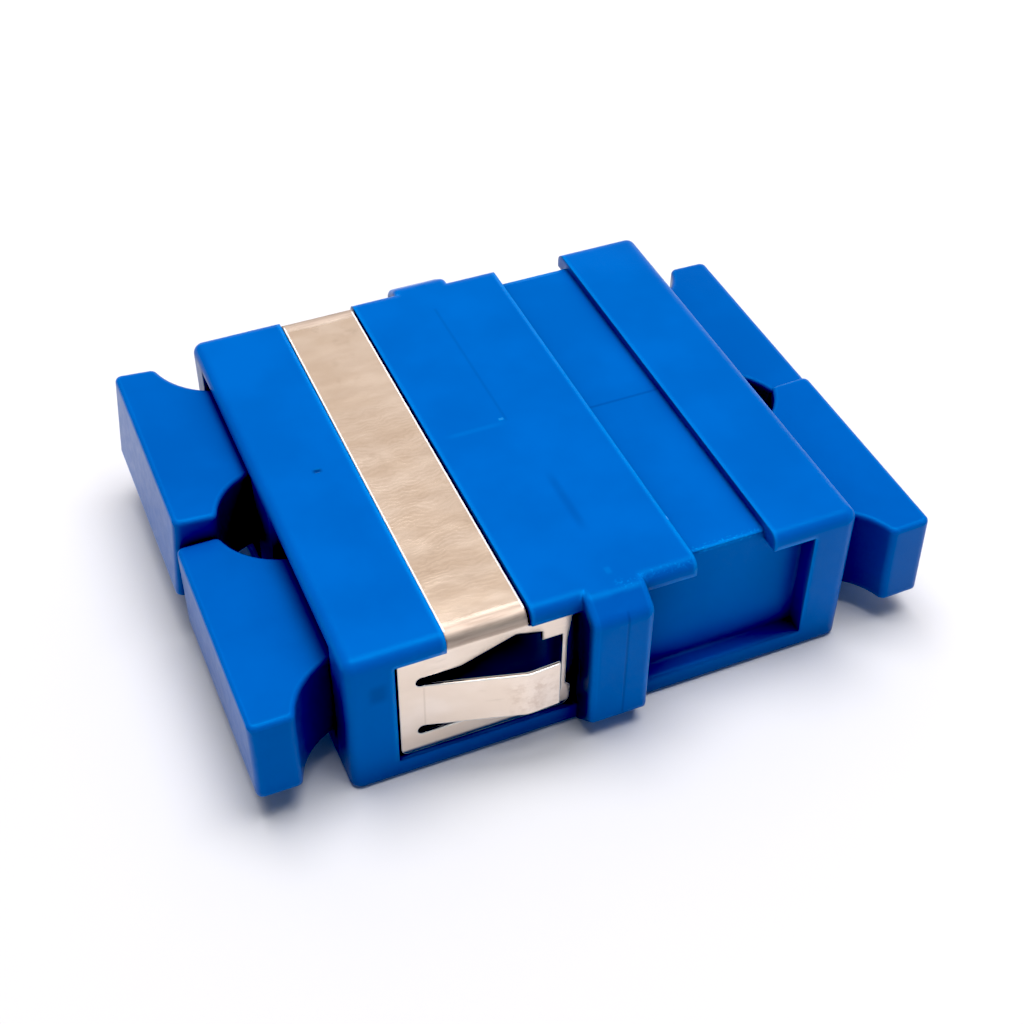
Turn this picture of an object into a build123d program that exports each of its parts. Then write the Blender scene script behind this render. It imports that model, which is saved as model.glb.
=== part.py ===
"""Duplex SC fibre adapter without a flange, with its spring clip and four dust plugs.

The fibres run along X and the two channels lie side by side along Y. The origin is under
the middle of the housing, on the surface that the adapter lies on. All sizes are in
millimetres. Left is -X, right is +X, front is -Y and back is +Y.
"""
from build123d import *
import os
from math import sqrt

# Housing, moulded as two halves that are welded at the middle of the ribs
housing_length = 27.8
channel_pitch = 12.7
side_wall = 2.45
floor_wall = 0.85
edge_radius = 0.6
foot_chamfer = 0.25

# Ribs that stop the adapter against the panel
rib_thickness = 3.3
rib_stand_out = 1.4
rib_slope_run = 1.25
rib_top_drop = 0.85
rib_foot_rise = 1.15
rib_crown_radius = 0.7
rib_edge_radius = 0.3
rib_root_lap = 0.1

# Side pockets that take the plates of the clip
pocket_depth = 1.1
pocket_ledge = 1.25
pocket_lintel = 1.0
pocket_from_rib = 0.05
pocket_end_post = 2.5

# Cross grooves in the top, one over each pocket, and how far outside the pocket's middle each one lies
groove_depth = 0.5
groove_width = 4.4
groove_off_middle = {"left": 0.0, "right": 0.23}

# Ports, key slots and the seats of the sleeve holders' flanges
port_width = 9.1
port_height = 7.5
port_lead_in = 0.25
key_slot_width = 2.6
key_slot_depth = 0.6
flange_shoulder = 0.3
flange_thickness = 1.5
flange_clearance = 0.05

# Split alignment sleeves
sleeve_bore = 2.5
sleeve_wall = 0.35
sleeve_length = 11.4
sleeve_slit = 0.4
sleeve_clearance = 0.05

# Barrels and latch arms of the sleeve holders
barrel_wall = 0.75
barrel_lip = 1.1
barrel_lip_clearance = 0.2
barrel_end_clearance = 0.1
barrel_nose_chamfer = 0.3
latch_reach = 8.9
latch_thickness = 0.6
latch_height = 3.2
latch_wall_clearance = 0.1
latch_hook_length = 1.0
latch_hook_ramp = 0.5
latch_hook_depth = 0.45

# Dust plugs, whose gripping bars are a little wider than the pitch of the channels
bar_over_pitch = 0.3
bar_thickness = 2.3
bar_stand_out = 4.7
plug_height_play = 1.1
plug_side_play = 0.95
scoop_radius = 3.7
plug_tip_clearance = 0.5
plug_tip_chamfer = 0.4
plug_hook_clearance = 0.75
plug_edge_radius = 0.22
plug_corner_radius = 0.4
plug_under_chamfer = 0.15

# How the two plugs of one end sit side by side: the gap between their bars, and the pair's shift along Y
bar_gap = {"left": 0.25, "right": 0.04}
pair_shift = {"left": -0.16, "right": -0.39}

# How each plug sits in the play of its port: drawn out, lifted, and its outer end tipped up, in
# degrees about the port's mouth
plug_seats = {
    "left_front": (0.05, -0.25, 0),
    "left_back": (0.15, 0.72, 5),
    "right_front": (0.05, -0.45, 2),
    "right_back": (0.12, -0.8, -1),
}

# Spring clip, cut and bent from one sheet of steel
sheet = 0.2
plate_inset = 0.25
plate_gap_at_post = 0.2
plate_gap_at_rib = 0.35
plate_gap_below = 0.05
plate_gap_above = 0.2
plate_corner_radius = 0.4
plate_heel_radius = 0.5
strip_side_gap = 0.1
strip_back_rise = 0.2
fold_radius = 0.65
back_fold_radius = 0.45
strip_root_fillet = 0.25
waist_depth = 0.25
waist_taper = 1.8
waist_bottom_rise = 1.4
frame_left = 0.9
frame_right = 0.5
frame_top = 1.3
frame_bottom = 1.2
slot_height = 0.62
tab_fold_from_slot = 0.35
tab_rise = 1.35
tab_to_rib = 1.55
tab_lip_length = 1.7
tab_lip_return = 0.1
tab_bend_radius = 1.5
tongue_from_left = 2.3
tongue_from_right = 1.1
tongue_crest_from_right = 2.5
tongue_crest_rise = 1.05
tongue_end_rise = 0.65
tongue_reach = 0.6

# Places that follow from the sizes above
half_length = housing_length / 2
half_width = (channel_pitch + port_width) / 2 + side_wall
housing_height = port_height + 2 * floor_wall
port_axis_height = housing_height / 2
pocket_top = housing_height - pocket_lintel
pocket_start = rib_thickness / 2 + pocket_from_rib
pocket_end = half_length - pocket_end_post
groove_floor = housing_height - groove_depth
sleeve_outer = sleeve_bore + 2 * sleeve_wall
barrel_bore = sleeve_outer + 2 * sleeve_clearance
barrel_outer = barrel_bore + 2 * barrel_wall
barrel_lip_bore = sleeve_bore + 2 * barrel_lip_clearance
barrel_reach = sleeve_length / 2 + barrel_end_clearance + barrel_lip
latch_outer = port_width / 2 - latch_wall_clearance
latch_inner = latch_outer - latch_thickness
hook_inner = latch_inner - latch_hook_depth
plug_height = port_height - 2 * plug_height_play
neck_width = port_width - 2 * plug_side_play
plug_tip_width = 2 * (hook_inner - plug_hook_clearance)
bar_width = channel_pitch + bar_over_pitch
plate_left = -(pocket_end - plate_gap_at_post)
plate_right = -(pocket_start + plate_gap_at_rib)
plate_bottom = pocket_ledge + plate_gap_below
plate_top = pocket_top - plate_gap_above
plate_face = half_width - plate_inset
strip_width = groove_width - 2 * strip_side_gap
strip_top = groove_floor + sheet
strip_left = -((pocket_start + pocket_end + strip_width) / 2 + groove_off_middle["left"])
waist_bottom = plate_bottom + waist_bottom_rise
window_left = plate_left + frame_left
window_right = plate_right - frame_right
window_bottom = plate_bottom + frame_bottom
window_top = plate_top - frame_top
tab_end = -(rib_thickness / 2 + tab_to_rib)
overcut = 1.0

sides = ("left", "right")
rows = {"front": -1, "back": 1}


def block(x_range, y_range, z_range):
    """A box between its lowest and highest corners."""
    lengths = [high - low for low, high in (x_range, y_range, z_range)]
    middle = [(high + low) / 2 for low, high in (x_range, y_range, z_range)]
    return Pos(*middle) * Box(*lengths)


def across_channel(row, x):
    """The plane at X, facing +X, whose centre is on the axis of one channel."""
    return Plane((x, row * channel_pitch / 2, port_axis_height), x_dir=(0, 1, 0), z_dir=(1, 0, 0))


def channel_block(row, width, height, start, end):
    """A box along one channel, centred on its axis."""
    return extrude(across_channel(row, start) * Rectangle(width, height), end - start)


def channel_rod(row, diameter, start, end):
    """A cylinder on the axis of one channel."""
    return extrude(across_channel(row, start) * Circle(diameter / 2), end - start)


def rib(row):
    """One half's share of a rib, with its sloped top and foot."""
    outer = half_width + rib_stand_out
    root = half_width - edge_radius - rib_root_lap
    outline = make_face(
        Polyline(
            (root, 0),
            (outer - rib_slope_run, 0),
            (outer, rib_foot_rise),
            (outer, housing_height - rib_top_drop),
            (outer - rib_slope_run, housing_height),
            (root, housing_height),
            close=True,
        )
    )
    crown = [level.sort_by(Axis.X)[-1] for level in outline.vertices().group_by(Axis.Y)[-2:]]
    outline = fillet(crown, rib_crown_radius)
    solid = extrude(Plane.YZ * outline, rib_thickness / 2)
    panel_face = solid.faces().sort_by(Axis.X)[-1]
    rim = [edge for edge in panel_face.edges() if edge.center().Y > half_width]
    solid = fillet(rim, rib_edge_radius)
    return solid if row > 0 else mirror(solid, about=Plane.XZ)


def port(row):
    """The space of one port: its opening, lead-in and key slot, and the flange's seat."""
    opening = channel_block(row, port_width, port_height, 0, half_length + overcut)
    shoulder = 2 * flange_shoulder
    seat = channel_block(row, port_width + shoulder, port_height + shoulder, 0, flange_thickness)
    wide = across_channel(row, half_length) * Rectangle(
        port_width + 2 * port_lead_in, port_height + 2 * port_lead_in
    )
    narrow = across_channel(row, half_length - port_lead_in) * Rectangle(port_width, port_height)
    y_axis = row * channel_pitch / 2
    floor = port_axis_height - port_height / 2
    key_slot = block(
        (flange_thickness, half_length + overcut),
        (y_axis - key_slot_width / 2, y_axis + key_slot_width / 2),
        (floor - key_slot_depth, floor + overcut),
    )
    return opening + seat + loft([narrow, wide]) + key_slot


def housing_half(side_name):
    """One half of the housing, with its seam at X = 0."""
    body = block((0, half_length), (-half_width, half_width), (0, housing_height))
    seam_edges = body.faces().sort_by(Axis.X)[0].edges()
    foot_edges = body.faces().sort_by(Axis.Z)[0].edges()
    body = fillet(body.edges() - seam_edges - foot_edges, edge_radius)
    foot_rim = body.faces().sort_by(Axis.Z)[0].edges().sort_by(Axis.X)[1:]
    body = chamfer(foot_rim, foot_chamfer)
    groove_start = (pocket_start + pocket_end - groove_width) / 2 + groove_off_middle[side_name]
    groove_span = (groove_start, groove_start + groove_width)
    above = housing_height + overcut
    body -= block(groove_span, (-half_width - overcut, half_width + overcut), (groove_floor, above))
    for row in rows.values():
        body += rib(row)
        wall = row * (half_width - pocket_depth)
        depth_range = sorted((wall, row * (half_width + rib_stand_out + overcut)))
        body -= block((pocket_start, pocket_end), depth_range, (pocket_ledge, pocket_top))
        body -= block(groove_span, depth_range, (pocket_top - overcut, above))
        body -= port(row)
    return body if side_name == "right" else mirror(body, about=Plane.YZ)


def alignment_sleeve(row):
    """A ceramic sleeve, slit along its whole length."""
    half = sleeve_length / 2
    tube = channel_rod(row, sleeve_outer, -half, half) - channel_rod(row, sleeve_bore, -half, half)
    y_axis = row * channel_pitch / 2
    slit = block(
        (-half, half),
        (y_axis - sleeve_slit / 2, y_axis + sleeve_slit / 2),
        (port_axis_height, port_axis_height + sleeve_outer),
    )
    return tube - slit


def latch_arm(row, hand):
    """One springy arm with its hook, on one side of a channel's axis."""
    hook_start = latch_reach - latch_hook_length
    outline = Polyline(
        (flange_thickness / 2, hand * latch_inner),
        (hook_start, hand * latch_inner),
        (hook_start, hand * hook_inner),
        (latch_reach - latch_hook_ramp, hand * hook_inner),
        (latch_reach, hand * latch_inner),
        (latch_reach, hand * latch_outer),
        (flange_thickness / 2, hand * latch_outer),
        close=True,
    )
    base = Plane((0, row * channel_pitch / 2, port_axis_height - latch_height / 2))
    return extrude(base * make_face(outline), latch_height)


def sleeve_holder(side_name, row):
    """The flange, barrel and two latch arms that carry one end of a sleeve."""
    play = 2 * flange_shoulder - 2 * flange_clearance
    flange_end = flange_thickness - flange_clearance
    flange = channel_block(row, port_width + play, port_height + play, 0, flange_end)
    barrel = channel_rod(row, barrel_outer, 0, barrel_reach)
    barrel = chamfer(barrel.faces().sort_by(Axis.X)[-1].edges(), barrel_nose_chamfer)
    body = flange + barrel + latch_arm(row, 1) + latch_arm(row, -1)
    body -= channel_rod(row, barrel_bore, -overcut, barrel_reach - barrel_lip)
    body -= channel_rod(row, barrel_lip_bore, 0, barrel_reach + overcut)
    return body if side_name == "right" else mirror(body, about=Plane.YZ)


def dust_plug(side_name, row_name):
    """A dust plug: a gripping bar, a waist between two round scoops, and the neck in the port."""
    drawn_out, lift, tilt = plug_seats[side_name + "_" + row_name]
    outer = half_length + bar_stand_out + drawn_out
    scoop_y = neck_width / 2 + scoop_radius
    scoop_x = outer - bar_thickness - sqrt(scoop_radius**2 - (scoop_y - bar_width / 2) ** 2)
    tip_end = barrel_reach + plug_tip_clearance + drawn_out
    tip_start = latch_reach + plug_tip_clearance + drawn_out
    from_left = (Align.MIN, Align.CENTER)
    y_axis = rows[row_name] * (bar_width + bar_gap[side_name]) / 2 + pair_shift[side_name]
    base = Plane((0, y_axis, port_axis_height + lift - plug_height / 2))

    handle = Pos(scoop_x, 0) * Rectangle(outer - scoop_x, bar_width, align=from_left)
    for hand in (-1, 1):
        handle -= Pos(scoop_x, hand * scoop_y) * Circle(scoop_radius)
    bar_corners = handle.vertices().group_by(lambda corner: abs(corner.Y))[-1]
    handle = fillet(bar_corners, plug_corner_radius)
    grip = extrude(base * handle, plug_height)
    inner_edges = grip.faces().sort_by(Axis.X)[0].edges()
    grip = fillet(grip.faces().sort_by(Axis.Z)[-1].edges() - inner_edges, plug_edge_radius)
    under_rim = grip.faces().sort_by(Axis.Z)[0].edges().sort_by(Axis.X)[1:]
    grip = chamfer(under_rim, plug_under_chamfer)

    neck = Pos(tip_start, 0) * Rectangle(scoop_x - tip_start, neck_width, align=from_left)
    neck += Pos(tip_end, 0) * Rectangle(tip_start - tip_end, plug_tip_width, align=from_left)
    stem = extrude(base * neck, plug_height)
    stem = chamfer(stem.faces().sort_by(Axis.X)[0].edges(), plug_tip_chamfer)
    mouth = Axis((half_length, 0, port_axis_height + lift), (0, 1, 0))
    body = (grip + stem).rotate(mouth, -tilt)
    return body if side_name == "right" else mirror(body, about=Plane.YZ)


def tongue_bend():
    """The line along which the tongue is bent, as X and Z: its start, its crest and its end."""
    return (
        (window_left + tongue_from_left, window_top),
        (window_right - tongue_crest_from_right, window_top + tongue_crest_rise),
        (window_right - tongue_from_right, window_top + tongue_end_rise),
    )


def clip_plate():
    """The flat frame of the clip's front plate, drawn as X and Z, with the root of the strip."""
    strip_foot = strip_top - fold_radius
    outline = Pos(plate_left, plate_bottom) * Rectangle(
        plate_right - plate_left, plate_top - plate_bottom, align=(Align.MIN, Align.MIN)
    )
    outline += Pos(strip_left, plate_top) * Rectangle(
        strip_width, strip_foot - plate_top, align=(Align.MIN, Align.MIN)
    )
    low_corners = outline.vertices().group_by(Axis.Y)[0].sort_by(Axis.X)
    outline = fillet(low_corners[0], plate_corner_radius)
    low_right = outline.vertices().group_by(Axis.Y)[0].sort_by(Axis.X)[-1]
    outline = fillet(low_right, plate_heel_radius)
    strip_roots = outline.vertices().group_by(Axis.Y)[-2].sort_by(Axis.X)[1:3]
    outline = fillet(strip_roots, min(strip_root_fillet, (strip_foot - plate_top) / 2))
    waist = Polyline(
        (plate_right, plate_top),
        (plate_right - waist_depth, plate_top - waist_taper),
        (plate_right - waist_depth, waist_bottom + waist_depth),
        (plate_right, waist_bottom),
        close=True,
    )
    outline -= make_face(waist)
    slot_round = slot_height / 2
    tab_root = window_left + tab_fold_from_slot
    for slot_middle in (window_top - slot_round, window_bottom + slot_round):
        outline -= Pos(window_left + slot_round, slot_middle) * Circle(slot_round)
        outline -= Pos(window_left + slot_round, slot_middle) * Rectangle(
            tab_root - window_left, slot_height, align=(Align.MIN, Align.CENTER)
        )
    outline -= Pos(tab_root, window_bottom) * Rectangle(
        window_right - tab_root, window_top - window_bottom, align=(Align.MIN, Align.MIN)
    )
    start, crest, end = tongue_bend()
    outline -= make_face(
        Polyline(start, crest, end, (end[0], window_bottom), (start[0], window_bottom), close=True)
    )
    face = Plane.XZ.offset(plate_face - sheet)
    return extrude(face * outline, sheet)


def clip_tab():
    """The long tab of the front plate, bent outwards to press on the panel."""
    fold = window_left + tab_fold_from_slot
    crest = tab_end - tab_lip_length
    path = FilletPolyline(
        (fold - slot_height, -plate_face),
        (fold, -plate_face),
        (crest, -plate_face - tab_rise),
        (tab_end, -plate_face - tab_rise + tab_lip_return),
        radius=tab_bend_radius,
    )
    band = offset(path, amount=sheet, side=Side.LEFT, closed=True)
    tab_bottom = window_bottom + slot_height
    tab_height = window_top - window_bottom - 2 * slot_height
    return extrude(Plane.XY.offset(tab_bottom) * make_face(band), tab_height)


def clip_tongue():
    """The tongue under the strip, bent inwards until it rests against the pocket's wall."""
    inner = -(plate_face - sheet)
    start, crest, end = [Vector(x, inner, z) for x, z in tongue_bend()]
    leaf = Vector(0, tongue_reach, -sqrt(tongue_crest_rise**2 - tongue_reach**2))
    crest_tip = crest + leaf
    end_tip = end + leaf * (tongue_end_rise / tongue_crest_rise)
    body = Part()
    for corners in ((start, crest, crest_tip), (crest, end, end_tip, crest_tip)):
        body += extrude(make_face(Polyline(*corners, close=True)), sheet, dir=(0, -1, 0))
    return body


def spring_clip():
    """The whole clip: the strip over the top, and a plate, tab and tongue on both sides."""
    strip_outer = FilletPolyline(
        (-plate_face, plate_top),
        (-plate_face, strip_top),
        (plate_face, strip_top + strip_back_rise),
        (plate_face, plate_top),
        radius=[fold_radius, back_fold_radius],
    )
    band = make_face(offset(strip_outer, amount=sheet, side=Side.RIGHT, closed=True))
    body = extrude(Plane.YZ.offset(strip_left) * band, strip_width)
    front = clip_plate() + clip_tab()
    front += clip_tongue()
    return body + front + mirror(front, about=Plane.XZ)


def all_nodes():
    """Every piece, by the name of its node."""
    nodes = {"spring_clip": spring_clip()}
    for side_name in sides:
        nodes["housing_" + side_name] = housing_half(side_name)
        for row_name, row in rows.items():
            place = side_name + "_" + row_name
            nodes["sleeve_holder_" + place] = sleeve_holder(side_name, row)
            nodes["dust_plug_" + place] = dust_plug(side_name, row_name)
    for row_name, row in rows.items():
        nodes["alignment_sleeve_" + row_name] = alignment_sleeve(row)
    return nodes


os.makedirs("parts", exist_ok=True)
for name, solid in all_nodes().items():
    export_step(solid, "parts/" + name + ".step")
    print(name, "volume", round(solid.volume, 2))
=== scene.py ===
import math
import bpy
from mathutils import Matrix, Vector

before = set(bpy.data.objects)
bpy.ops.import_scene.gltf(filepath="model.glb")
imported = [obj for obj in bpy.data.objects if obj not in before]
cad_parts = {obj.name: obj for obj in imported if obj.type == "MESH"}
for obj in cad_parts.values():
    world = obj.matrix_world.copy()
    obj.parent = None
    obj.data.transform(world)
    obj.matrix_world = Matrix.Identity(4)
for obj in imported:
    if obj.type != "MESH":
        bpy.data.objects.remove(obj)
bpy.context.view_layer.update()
print("frame loaded,", len(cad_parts), "CAD nodes")

# lengths in the settings below are millimetres, and the scene is in metres
mm = 0.001


class Wire:
    # one output socket, so that shader maths is written as Python
    def __init__(self, finish, socket):
        self.finish = finish
        self.socket = socket

    def maths(self, operation, first, second):
        flat = self.socket.type == "VALUE" and not any(
            isinstance(side, tuple) or isinstance(side, Wire) and side.socket.type != "VALUE"
            for side in (first, second))
        if flat:
            return self.finish.node("Math", {"operation": operation}, {0: first, 1: second})
        sides = {place: (side,) * 3 if isinstance(side, (int, float)) else side
                 for place, side in enumerate((first, second))}
        return self.finish.node("VectorMath", {"operation": operation}, sides)

    def __add__(self, other):
        return self.maths("ADD", self, other)

    def __radd__(self, other):
        return self.maths("ADD", other, self)

    def __sub__(self, other):
        return self.maths("SUBTRACT", self, other)

    def __rsub__(self, other):
        return self.maths("SUBTRACT", other, self)

    def __mul__(self, other):
        return self.maths("MULTIPLY", self, other)

    def __rmul__(self, other):
        return self.maths("MULTIPLY", other, self)

    def __abs__(self):
        return self.finish.node("Math", {"operation": "ABSOLUTE"}, {0: self})


class Finish:
    # the nodes of one material, or of the world; each comes from node()
    seedStep = (1, 0.7, 1.3)  # how far one seed moves a noise along x, y and z
    samples = 6  # rays that the edge and recess nodes cast
    downwards = (-0.9, -0.5)  # a face that points down, by the z of its direction

    def __init__(self, owner, coordinates="Object", scale=1 / mm):
        owner.use_nodes = True
        self.owner = owner
        self.tree = owner.node_tree
        self.tree.nodes.clear()
        self.place = self.node("TexCoord", output=coordinates) * scale  # millimetres on a material
        apart = self.node("SeparateXYZ", {}, {0: self.place}).socket.node
        self.x, self.y, self.z = [Wire(self, axis) for axis in apart.outputs]

    def node(self, kind, settings=None, sockets=None, output=0):
        made = self.tree.nodes.new("ShaderNode" + kind)
        for name, value in (settings or {}).items():
            setattr(made, name, value)
        for name, value in (sockets or {}).items():
            if isinstance(value, Wire):
                self.tree.links.new(value.socket, made.inputs[name])
            else:
                made.inputs[name].default_value = value
        return Wire(self, made.outputs[output]) if made.outputs else None

    def noise(self, scale, detail=3, roughness=0.5, stretch=(1, 1, 1), seed=0):
        moved = self.place * tuple(stretch) + tuple(seed * step for step in self.seedStep)
        return self.node("TexNoise", {"noise_dimensions": "3D"},
                         {"Vector": moved, "Scale": scale, "Detail": detail, "Roughness": roughness})

    def fade(self, value, start, end, low=0, high=1):
        # low up to start, high from end on, smooth between
        return self.node("MapRange", {"interpolation_type": "SMOOTHSTEP"},
                         {"Value": value, "From Min": start, "From Max": end, "To Min": low, "To Max": high})

    def mottle(self, s):
        # a noise made sharper between its stops
        return self.fade(self.noise(**s["noise"]), *s["stops"])

    def near(self, value, middle, reach, soft):
        # 1 where value is within reach of middle, and 0 from soft beyond it
        return self.fade(abs(value - middle), reach, reach + soft, 1, 0)

    def patch(self, s, across=None):
        # 1 in a box about its middle, fading out over soft
        axes = zip((self.x, across or self.y, self.z), s["middle"], s["reach"], s["soft"])
        inside = [self.near(*axis) for axis in axes]
        return inside[0] * inside[1] * inside[2]

    def mixed(self, share, first, second):
        # a Mix node's colours are its sockets 6 and 7, and its output 2
        colours = {place: (*colour, 1) if isinstance(colour, tuple) else colour
                   for place, colour in ((6, first), (7, second))}
        return self.node("Mix", {"data_type": "RGBA"}, {0: share, **colours}, 2)

    def rounded(self, radius):
        # the surface's direction with its sharp edges rounded off
        return self.node("Bevel", {"samples": self.samples}, {"Radius": radius * mm})

    def edges(self, radius, start, end):
        # 1 along sharp edges, 0 on flat faces
        turned = self.node("VectorMath", {"operation": "DOT_PRODUCT"},
                           {0: self.rounded(radius), 1: self.plain()}, "Value")
        return self.fade(turned, start, end, 1, 0)

    def plain(self):
        return self.node("NewGeometry", output="Normal")

    def underside(self):
        # 1 where the surface faces down, so that what the part lies on leaves no shade in its colour
        return self.fade(self.node("SeparateXYZ", {}, {0: self.plain()}, 2), *self.downwards, 1, 0)

    def closeness(self, reach):
        # 1 in the open, less in a recess or beside another piece within reach
        return self.node("AmbientOcclusion", {"samples": self.samples}, {"Distance": reach * mm}, "AO")

    def bump(self, height, normal):
        # height is in millimetres
        return self.node("Bump", {}, {"Height": height, "Distance": mm, "Normal": normal})

    def surface(self, **sockets):
        named = {name.replace("_", " "): value for name, value in sockets.items()}
        return self.end("OutputMaterial", self.node("BsdfPrincipled", {}, named))

    def end(self, kind, shader):
        self.node(kind, {}, {"Surface": shader})
        return self.owner


def newFinish(name):
    return Finish(bpy.data.materials.new(name))


# camera, solved from the housing's edges in the photograph
cameraSettings = {
    "place": (-26.935, -62.823, 67.846),
    "right": (0.9204607, -0.3907487, 0.00821916),
    "forward": (0.28763358, 0.66302166, -0.69113617),
    "focal": 1671.6,  # in the photograph's pixels
    "pixels": 1024,  # its width
    "sensor": 36,
    "nearest": 1,  # nothing closer shows
}


def makeCamera(s):
    data = bpy.data.cameras.new("camera")
    data.sensor_width = s["sensor"]
    data.lens = s["focal"] / s["pixels"] * s["sensor"]
    data.clip_start = s["nearest"] * mm
    camera = bpy.data.objects.new("camera", data)
    bpy.context.scene.collection.objects.link(camera)
    forward = Vector(s["forward"]).normalized()
    right = Vector(s["right"]).normalized()
    up = right.cross(forward).normalized()
    right = forward.cross(up)
    turn = Matrix((right, up, -forward)).transposed().to_4x4()
    camera.matrix_world = Matrix.Translation(Vector(s["place"]) * mm) @ turn
    bpy.context.scene.camera = camera


makeCamera(cameraSettings)
print("camera placed")

# pale floor that glows a little far off, where the lights don't reach, and meets a pale horizon
floorSettings = {
    "size": 3000,
    "colour": (0.80, 0.79, 0.81), "fibre": {"scale": 0.35, "detail": 4, "roughness": 0.6}, "fibreTone": 0.99,
    "rough": 0.9, "specular": 0.2,
    "far": (130, 620), "dark": (0, 0, 0), "glow": (0.56, 0.60, 0.64),
}


def makeFloor(s):
    half = s["size"] * mm / 2
    mesh = bpy.data.meshes.new("floor")
    corners = [(-half, -half, 0), (half, -half, 0), (half, half, 0), (-half, half, 0)]
    mesh.from_pydata(corners, [], [(0, 1, 2, 3)])
    floor = bpy.data.objects.new("floor", mesh)
    bpy.context.scene.collection.objects.link(floor)
    paper = newFinish("floorPaper")
    fibre = paper.noise(**s["fibre"])
    tone = paper.mixed(fibre, tuple(part * s["fibreTone"] for part in s["colour"]), s["colour"])
    distance = paper.node("VectorMath", {"operation": "LENGTH"}, {0: paper.place}, "Value")
    glow = paper.mixed(paper.fade(distance, *s["far"]), s["dark"], s["glow"])
    floor.data.materials.append(paper.surface(
        Base_Color=tone, Roughness=s["rough"], Specular_IOR_Level=s["specular"],
        Emission_Color=glow, Emission_Strength=1,
    ))


# sky, which darkens upwards between its two rises, and two soft boxes that face the part: one behind it,
# which the clip's strip reflects, and one over it
studio = {
    "sky": {"horizon": (0.40, 0.53, 0.62), "overhead": (0.095, 0.098, 0.11), "rises": (0.08, 0.66)},
    "lights": {
        "backBox": {
            "place": (110, 250, 260), "size": (560, 460), "radiance": 0.62, "colour": (1.0, 0.86, 0.74),
        },
        "topBox": {
            "place": (40, 40, 430), "size": (400, 260), "radiance": 7.2, "colour": (0.99, 0.99, 1.0),
        },
    },
    "blacks": 0.021,
}


def makeSky(s):
    sky = Finish(bpy.data.worlds.new("world"), "Generated", 1)
    tone = sky.mixed(sky.fade(sky.z, *s["rises"]), s["horizon"], s["overhead"])
    bpy.context.scene.world = sky.end("OutputWorld", sky.node("Background", {}, {"Color": tone}))


def makeLight(name, s):
    data = bpy.data.lights.new(name, "AREA")
    data.shape = "RECTANGLE"
    data.size, data.size_y = [side * mm for side in s["size"]]
    data.energy = s["radiance"] * math.pi * data.size * data.size_y
    data.color = s["colour"]
    lamp = bpy.data.objects.new(name, data)
    bpy.context.scene.collection.objects.link(lamp)
    place = Vector(s["place"]) * mm
    lamp.matrix_world = Matrix.Translation(place) @ place.to_track_quat("Z", "Y").to_matrix().to_4x4()


def setPictureTone(blacks):
    # the photograph's deep blacks
    view = bpy.context.scene.view_settings
    view.view_transform = "Standard"
    view.use_curve_mapping = True
    view.curve_mapping.black_level = (blacks,) * 3


makeFloor(floorSettings)
makeSky(studio["sky"])
for name, light in studio["lights"].items():
    makeLight(name, light)
setPictureTone(studio["blacks"])
print("floor and light made")

# moulded blue plastic: what all its pieces share; hollow is the reach of the shade in recesses, and each
# piece's edge is the radius that its sharp edges show
moulding = {
    "tint": (0.0, 0.5, 1.0, 1), "specular": 0.38,
    "cloud": {"scale": 0.16, "detail": 3, "roughness": 0.5}, "cloudStops": (0.38, 0.74),
    "grain": {"scale": 9, "detail": 4, "roughness": 0.6}, "grainTone": 0.12, "grainHeight": 0.003,
    "gloss": {"scale": 1.4, "detail": 4, "roughness": 0.6}, "glossStops": (0.2, 0.8), "glossSpread": 0.04,
    "glossSeed": 5,  # past the piece's own seed
    "hollow": 3.5, "shade": (0, 0.006, 0.070), "shadeStops": (0.10, 0.95, 0.02, 1),
    "edgeStops": (0.955, 1), "openStops": (0.78, 0.90),  # the painted edge highlight shows only where edges stand clear
    "speck": {"detail": 2, "roughness": 0.5, "seed": 31}, "speckStops": (0.56, 0.66),
}

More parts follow.
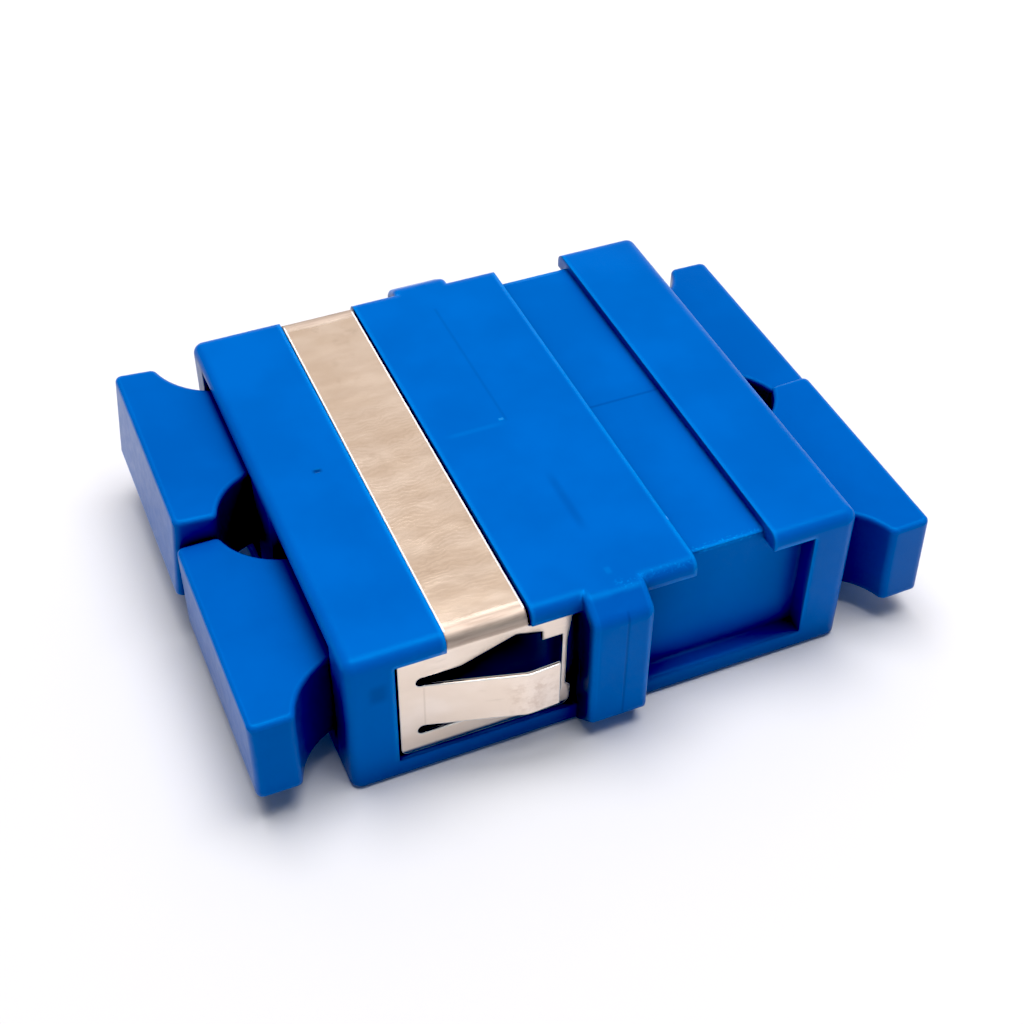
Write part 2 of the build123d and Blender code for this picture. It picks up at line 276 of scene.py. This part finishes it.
# and each piece's own colours and marks: a mark is a small place that is tinted and raised or sunk, and
# one with bothSides is at the front and the back
plastics = {
    "housingBlue": {
        "deep": (0.0, 0.101, 0.441), "pale": (0.0, 0.117, 0.496), "rough": 0.32,
        "edge": 0.42, "edgeHighlightBlue": (0.005, 0.28, 0.88), "edgeHighlight": 0.75, "seam": (0.28, 0.06), "seed": 3,
        "marks": {
            "seamOnTop": {
                "middle": (0, 5.5, 9.2), "reach": (0.02, 5.2, 0.2), "soft": (0.12, 0.3, 0.2),
                "tone": (0, 0.02, 0.14), "share": 0.15, "raised": -0.002,
            },
            # painted highlight: a lighter line along the top's middle, over a slight rise
            "lightLineOnTop": {
                "middle": (-1.9, 0, 9.2), "reach": (0.9, 0.02, 0.2), "soft": (1.1, 0.24, 0.2),
                "tone": (0.01, 0.24, 0.72), "share": 0.16, "raised": 0.003,
            },
            "fleck": {
                "middle": (-0.24, 0.34, 9.2), "reach": (0.07, 0.05, 0.2), "soft": (0.14, 0.10, 0.2),
                "tone": (0.05, 0.36, 0.80), "share": 0.40, "raised": 0.004,
            },
            # painted shade: a soft dark line along the top's front half, beside the weld
            "shadeLineOnTop": {
                "middle": (0.36, -6.8, 9.2), "reach": (0.03, 1.3, 0.2), "soft": (0.35, 1.4, 0.2),
                "tone": (0, 0.03, 0.20), "share": 0.24, "raised": 0,
            },
            "gateScar": {
                "middle": (-10.69, 0.16, 9.2), "reach": (0.06, 0.03, 0.2), "soft": (0.28, 0.20, 0.2),
                "tone": (0, 0.01, 0.10), "share": 0.75, "raised": -0.03,
            },
            # painted shade: a dark line along the groove floor's middle, over a slight dip
            "grooveLine": {
                "middle": (6.8, -0.1, 8.7), "reach": (2.1, 0.03, 0.2), "soft": (0.2, 0.10, 0.2),
                "tone": (0, 0.02, 0.16), "share": 0.30, "raised": -0.004,
            },
            "ribLine": {
                "middle": (0.2, -14.75, 4.8), "reach": (0.02, 0.2, 3.4), "soft": (0.09, 0.2, 0.6),
                "tone": (0, 0.01, 0.10), "share": 0.28, "raised": -0.004,
            },
            "flash": {
                "middle": (4.66, -9.96, 9.2), "reach": (0.05, 0.09, 0.2), "soft": (0.08, 0.10, 0.2),
                "tone": (0.35, 0.60, 0.95), "share": 0.70, "raised": 0.02,
            },
            "scuff": {
                "middle": (0.2, -12.15, 9.2), "reach": (0.08, 0.12, 0.2), "soft": (0.14, 0.20, 0.2),
                "tone": (0.02, 0.30, 0.78), "share": 0.14, "raised": 0,
            },
            # painted shadow: near black in the recess behind the clip's plates, at the front and the back
            "shadowBehindClip": {
                "middle": (-6.6, 12.25, 4.6), "reach": (2.6, 0.3, 2.9), "soft": (2.2, 0.2, 0.8),
                "tone": (0, 0, 0.006), "share": 0.97, "raised": 0, "bothSides": True,
            },
            # painted shade on the rib's side beside the clip, at the front and the back
            "shadeBesideClip": {
                "middle": (-1.65, 13.5, 4.2), "reach": (0.03, 0.55, 3.6), "soft": (0.10, 0.75, 0.9),
                "tone": (0, 0.002, 0.040), "share": 0.85, "raised": 0, "bothSides": True,
            },
            # painted glints: bright specks along the groove's front edge and along the top's front edge
            # beside the rib
            "grooveSparkle": {
                "middle": (6.9, -12.35, 8.7), "reach": (2.0, 0.25, 0.1), "soft": (0.3, 0.35, 0.2),
                "tone": (0.04, 0.45, 1.0), "share": 0.50, "raised": 0.003, "speckle": 8.0,
            },
            "cornerSparkle": {
                "middle": (2.6, -13.2, 9.2), "reach": (2.2, 0.1, 0.1), "soft": (0.4, 0.4, 0.3),
                "tone": (0.02, 0.34, 0.90), "share": 0.25, "raised": 0.002, "speckle": 7.0,
            },
            "sideSmudge": {
                "middle": (-12.29, -13.35, 6.77), "reach": (0.15, 0.3, 0.25), "soft": (0.5, 0.3, 0.6),
                "tone": (0, 0.02, 0.14), "share": 0.30, "raised": 0,
            },
        },
    },
    "plugBlue": {
        "deep": (0.0, 0.088, 0.400), "pale": (0.0, 0.102, 0.450), "rough": 0.32,
        "edge": 0.34, "edgeHighlightBlue": (0.005, 0.26, 0.82), "edgeHighlight": 0.60, "seam": None, "seed": 11,
        "marks": {
            "speck": {
                "middle": (-14.5, 3.11, 7.9), "reach": (0.05, 0.05, 0.05), "soft": (0.08, 0.08, 0.08),
                "tone": (0.35, 0.60, 0.95), "share": 0.60, "raised": 0.01,
            },
        },
    },
    "holderBlue": {
        "deep": (0.0, 0.080, 0.370), "pale": (0.0, 0.094, 0.420), "rough": 0.38,
        "edge": 0.12, "edgeHighlightBlue": (0.01, 0.26, 0.76), "edgeHighlight": 0.25, "seam": None, "seed": 19,
        "marks": {},
    },
}


def mouldedPlastic(name):
    s = {**moulding, **plastics[name]}
    blue = newFinish(name)
    cloud = blue.noise(**s["cloud"], seed=s["seed"])
    grain = blue.noise(**s["grain"], seed=s["seed"])
    colour = blue.mixed(blue.fade(cloud + grain * s["grainTone"], *s["cloudStops"]), s["deep"], s["pale"])
    clear = blue.closeness(s["hollow"]) + blue.underside()
    seam = blue.near(blue.x, 0, *s["seam"]) if s["seam"] else 0
    # painted highlight: the colour lightens to the edge highlight blue along sharp edges that stand clear
    edgeHighlight = blue.edges(s["edge"], *s["edgeStops"]) * blue.fade(clear, *s["openStops"])
    edgeHighlight = edgeHighlight * s["edgeHighlight"] * (1 - seam)
    colour = blue.mixed(edgeHighlight, colour, s["edgeHighlightBlue"])
    height = grain * s["grainHeight"]
    for mark in s["marks"].values():
        across = abs(blue.y) if "bothSides" in mark else None
        place = blue.patch(mark, across)
        if "speckle" in mark:
            place = place * blue.fade(blue.noise(mark["speckle"], **s["speck"]), *s["speckStops"])
        colour = blue.mixed(place * mark["share"], colour, mark["tone"])
        height = height + place * mark["raised"]
    # painted shade: the colour darkens to the shade blue in recesses and beside other pieces, but not where
    # a face points down
    colour = blue.mixed(blue.fade(clear, *s["shadeStops"]), s["shade"], colour)
    gloss = blue.noise(**s["gloss"], seed=s["seed"] + s["glossSeed"])
    rough = blue.fade(gloss, *s["glossStops"], s["rough"] - s["glossSpread"], s["rough"] + s["glossSpread"])
    normal = blue.rounded(s["edge"])
    if s["seam"]:
        normal = blue.mixed(seam, normal, blue.plain())  # the weld stays flush
    return blue.surface(
        Base_Color=colour, Roughness=rough, Normal=blue.bump(height, normal),
        Specular_Tint=s["tint"], Specular_IOR_Level=s["specular"],
    )


# rolled spring steel of the clip, with painted highlights along its cut edges; across is the distance from
# the clip's middle to the front or the back
steel = {
    "pale": (0.93, 0.80, 0.69), "warm": (0.87, 0.73, 0.61), "highlightWhite": (1.0, 1.0, 1.0),
    "rough": (0.17, 0.25), "edge": 0.12,
    "strip": (8.5, 8.7),  # the strip lies above these heights, and the plates below
    "cloud": {"noise": {"scale": 0.5, "stretch": (0.6, 1.2, 1), "seed": 2}, "stops": (0.35, 0.65)},
    "ripple": {  # along is the middle of the rippled stretch, its reach and its soft end
        "pitch": 0.28, "depth": 0.0030, "tone": (0.66, 0.52, 0.40), "share": 0.26, "along": (-3.5, 4.5, 6.5),
        "shape": {"Distortion": 17.0, "Detail": 3.0, "Detail Scale": 0.62, "Detail Roughness": 0.60},
        "breaks": {"noise": {"scale": 0.9, "detail": 2, "seed": 37}, "stops": (0.36, 0.62, 0.35, 1)},
    },
    "brush": {
        "noise": {"scale": 1, "detail": 4, "roughness": 0.6, "stretch": (0.35, 1.0, 5.0), "seed": 13},
        "stops": (0.3, 0.7), "depth": 0.0015,
    },
    "stain": {
        "noise": {"scale": 1, "detail": 5, "roughness": 0.65, "stretch": (0.6, 0.6, 2.2), "seed": 23},
        "stops": (0.56, 0.74), "tone": (0.60, 0.48, 0.38), "share": 0.30,
    },
    "bendLine": {
        "middle": (-9.9, 13.1, 4.5), "reach": (0.02, 0.4, 1.3), "soft": (0.05, 0.2, 0.3), "share": 0.35,
    },
    "tabStain": {
        "middle": (-4.6, 13.4, 4.4), "reach": (0.7, 1.2, 0.7), "soft": (1.2, 0.3, 0.8),
        "noise": {"scale": 1.6, "detail": 5, "roughness": 0.7, "seed": 41}, "stops": (0.42, 0.62),
        "tone": (0.66, 0.50, 0.40), "share": 0.55,
    },
    "fold": {  # where the strip bends down into a plate, with painted shade bands and lines across the bend
        "across": (11.95, 12.45), "height": (8.0, 8.3), "rough": 0.42,
        "bendShade": (0.56, 0.46, 0.39), "bendShadeShare": 0.90, "tone": (0.36, 0.27, 0.22),
        "lines": (12.62, 13.02), "lineWidth": (0.03, 0.10), "bendShadeLineShare": 0.22,
        "noise": {"scale": 1, "detail": 4, "roughness": 0.6, "stretch": (0.45, 5, 5), "seed": 53},
        "stops": (0.40, 0.66), "bendShadeStreakShare": 0.42,
    },
    "tongue": {  # painted shade, near black, where it bends in behind the plate
        "tone": (0.03, 0.017, 0.012), "inner": (12.2, 12.4), "outer": (12.88, 13.13),
        "bottom": (5.9, 6.1), "top": (7.9, 8.0),
    },
    # painted highlights: light lines along the strip's sides, and along the plates' cut edges
    "stripSideHighlight": {"sides": (-8.65, -4.45), "width": (0.07, 0.05), "ends": (12.5, 12.7), "lessMetal": 0.9},
    "cut": {"stops": (0.93, 1), "lessMetal": 0.6},
}


def rolledSteel(name, s):
    metal = newFinish(name)
    across = abs(metal.y)
    strip = metal.fade(metal.z, *s["strip"])
    plate = 1 - strip
    often = math.pi / 10 / s["ripple"]["pitch"]  # a wave texture of Scale pi / 10 repeats every millimetre
    ripple = metal.node("TexWave", {"bands_direction": "Y"},
                        {"Vector": metal.place, "Scale": often, **s["ripple"]["shape"]}, "Fac")
    rippled = strip * metal.near(metal.y, *s["ripple"]["along"]) * metal.mottle(s["ripple"]["breaks"])
    brush = metal.noise(**s["brush"]["noise"])
    height = ripple * rippled * s["ripple"]["depth"] + brush * plate * s["brush"]["depth"]

    fold = s["fold"]
    folded = metal.fade(across, *fold["across"]) * metal.fade(metal.z, *fold["height"])
    lines = [metal.near(across, place, *fold["lineWidth"]) for place in fold["lines"]]
    tongue = s["tongue"]
    # painted shade on the tongue behind the plate
    tongueShadeMask = metal.fade(across, *tongue["inner"]) * metal.fade(across, *tongue["outer"], 1, 0)
    tongueShadeMask = tongueShadeMask * metal.fade(metal.z, *tongue["bottom"]) * metal.fade(metal.z, *tongue["top"], 1, 0)
    # painted highlights along the strip's sides and the plates' cut edges
    stripSideHighlights = [metal.near(metal.x, side, *s["stripSideHighlight"]["width"]) for side in s["stripSideHighlight"]["sides"]]
    stripSideHighlight = (stripSideHighlights[0] + stripSideHighlights[1]) * strip * metal.fade(across, *s["stripSideHighlight"]["ends"], 1, 0)
    cut = metal.edges(s["edge"], *s["cut"]["stops"]) * (1 - tongueShadeMask) * (1 - folded) * plate

    colour = metal.mixed(metal.mottle(s["cloud"]), s["warm"], s["pale"])
    stained = metal.mottle(s["stain"]) * s["stain"]["share"]
    stained = stained + metal.patch(s["bendLine"], across) * s["bendLine"]["share"]
    tabStained = metal.patch(s["tabStain"], across) * metal.mottle(s["tabStain"]) * s["tabStain"]["share"]
    layers = (
        (stained, s["stain"]["tone"]),
        (ripple * rippled * s["ripple"]["share"], s["ripple"]["tone"]),
        (tabStained, s["tabStain"]["tone"]),
        # painted shade: darker bands, lines and streaks across the bend
        (folded * fold["bendShadeShare"], fold["bendShade"]),
        ((lines[0] + lines[1]) * folded * fold["bendShadeLineShare"], fold["tone"]),
        (metal.mottle(fold) * folded * fold["bendShadeStreakShare"], fold["tone"]),
        (cut + stripSideHighlight, s["highlightWhite"]),
        (tongueShadeMask, tongue["tone"]),
    )
    for share, tone in layers:
        colour = metal.mixed(share, colour, tone)
    rough = metal.fade(brush, *s["brush"]["stops"], *s["rough"]) + folded * fold["rough"]
    return metal.surface(
        Base_Color=colour, Roughness=rough, Normal=metal.bump(height, metal.rounded(s["edge"])),
        Metallic=1 - cut * s["cut"]["lessMetal"] - stripSideHighlight * s["stripSideHighlight"]["lessMetal"],
    )


# ground zirconia of the sleeves, with fine lines along the bore
ceramic = {
    "dark": (0.84, 0.83, 0.79), "pale": (0.91, 0.90, 0.87), "cloud": {"scale": 0.8, "seed": 4},
    "lines": {"scale": 3, "stretch": (0.2, 4, 4), "seed": 9}, "stops": (0.3, 0.7), "rough": (0.16, 0.28),
    "depth": 0.002, "edge": 0.05,
}


def groundCeramic(name, s):
    white = newFinish(name)
    tone = white.mixed(white.noise(**s["cloud"]), s["dark"], s["pale"])
    lines = white.noise(**s["lines"])
    return white.surface(
        Base_Color=tone, Roughness=white.fade(lines, *s["stops"], *s["rough"]),
        Normal=white.bump(lines * s["depth"], white.rounded(s["edge"])),
    )


# the start of a node's name, its finish, and its material slot in the record
finishes = {
    "housing_": (mouldedPlastic("housingBlue"), "housing_blue"),
    "dust_plug_": (mouldedPlastic("plugBlue"), "plug_blue"),
    "sleeve_holder_": (mouldedPlastic("holderBlue"), "holder_blue"),
    "alignment_sleeve_": (groundCeramic("sleeveCeramic", ceramic), "sleeve_ceramic"),
    "spring_clip": (rolledSteel("clipSteel", steel), "clip_steel"),
}


def dress(node):
    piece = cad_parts[node]
    for start, (material, slot) in finishes.items():
        if node.startswith(start):
            piece.data.materials.clear()
            piece.data.materials.append(material)


for node in sorted(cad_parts):
    dress(node)
print("finishes given to the nodes")
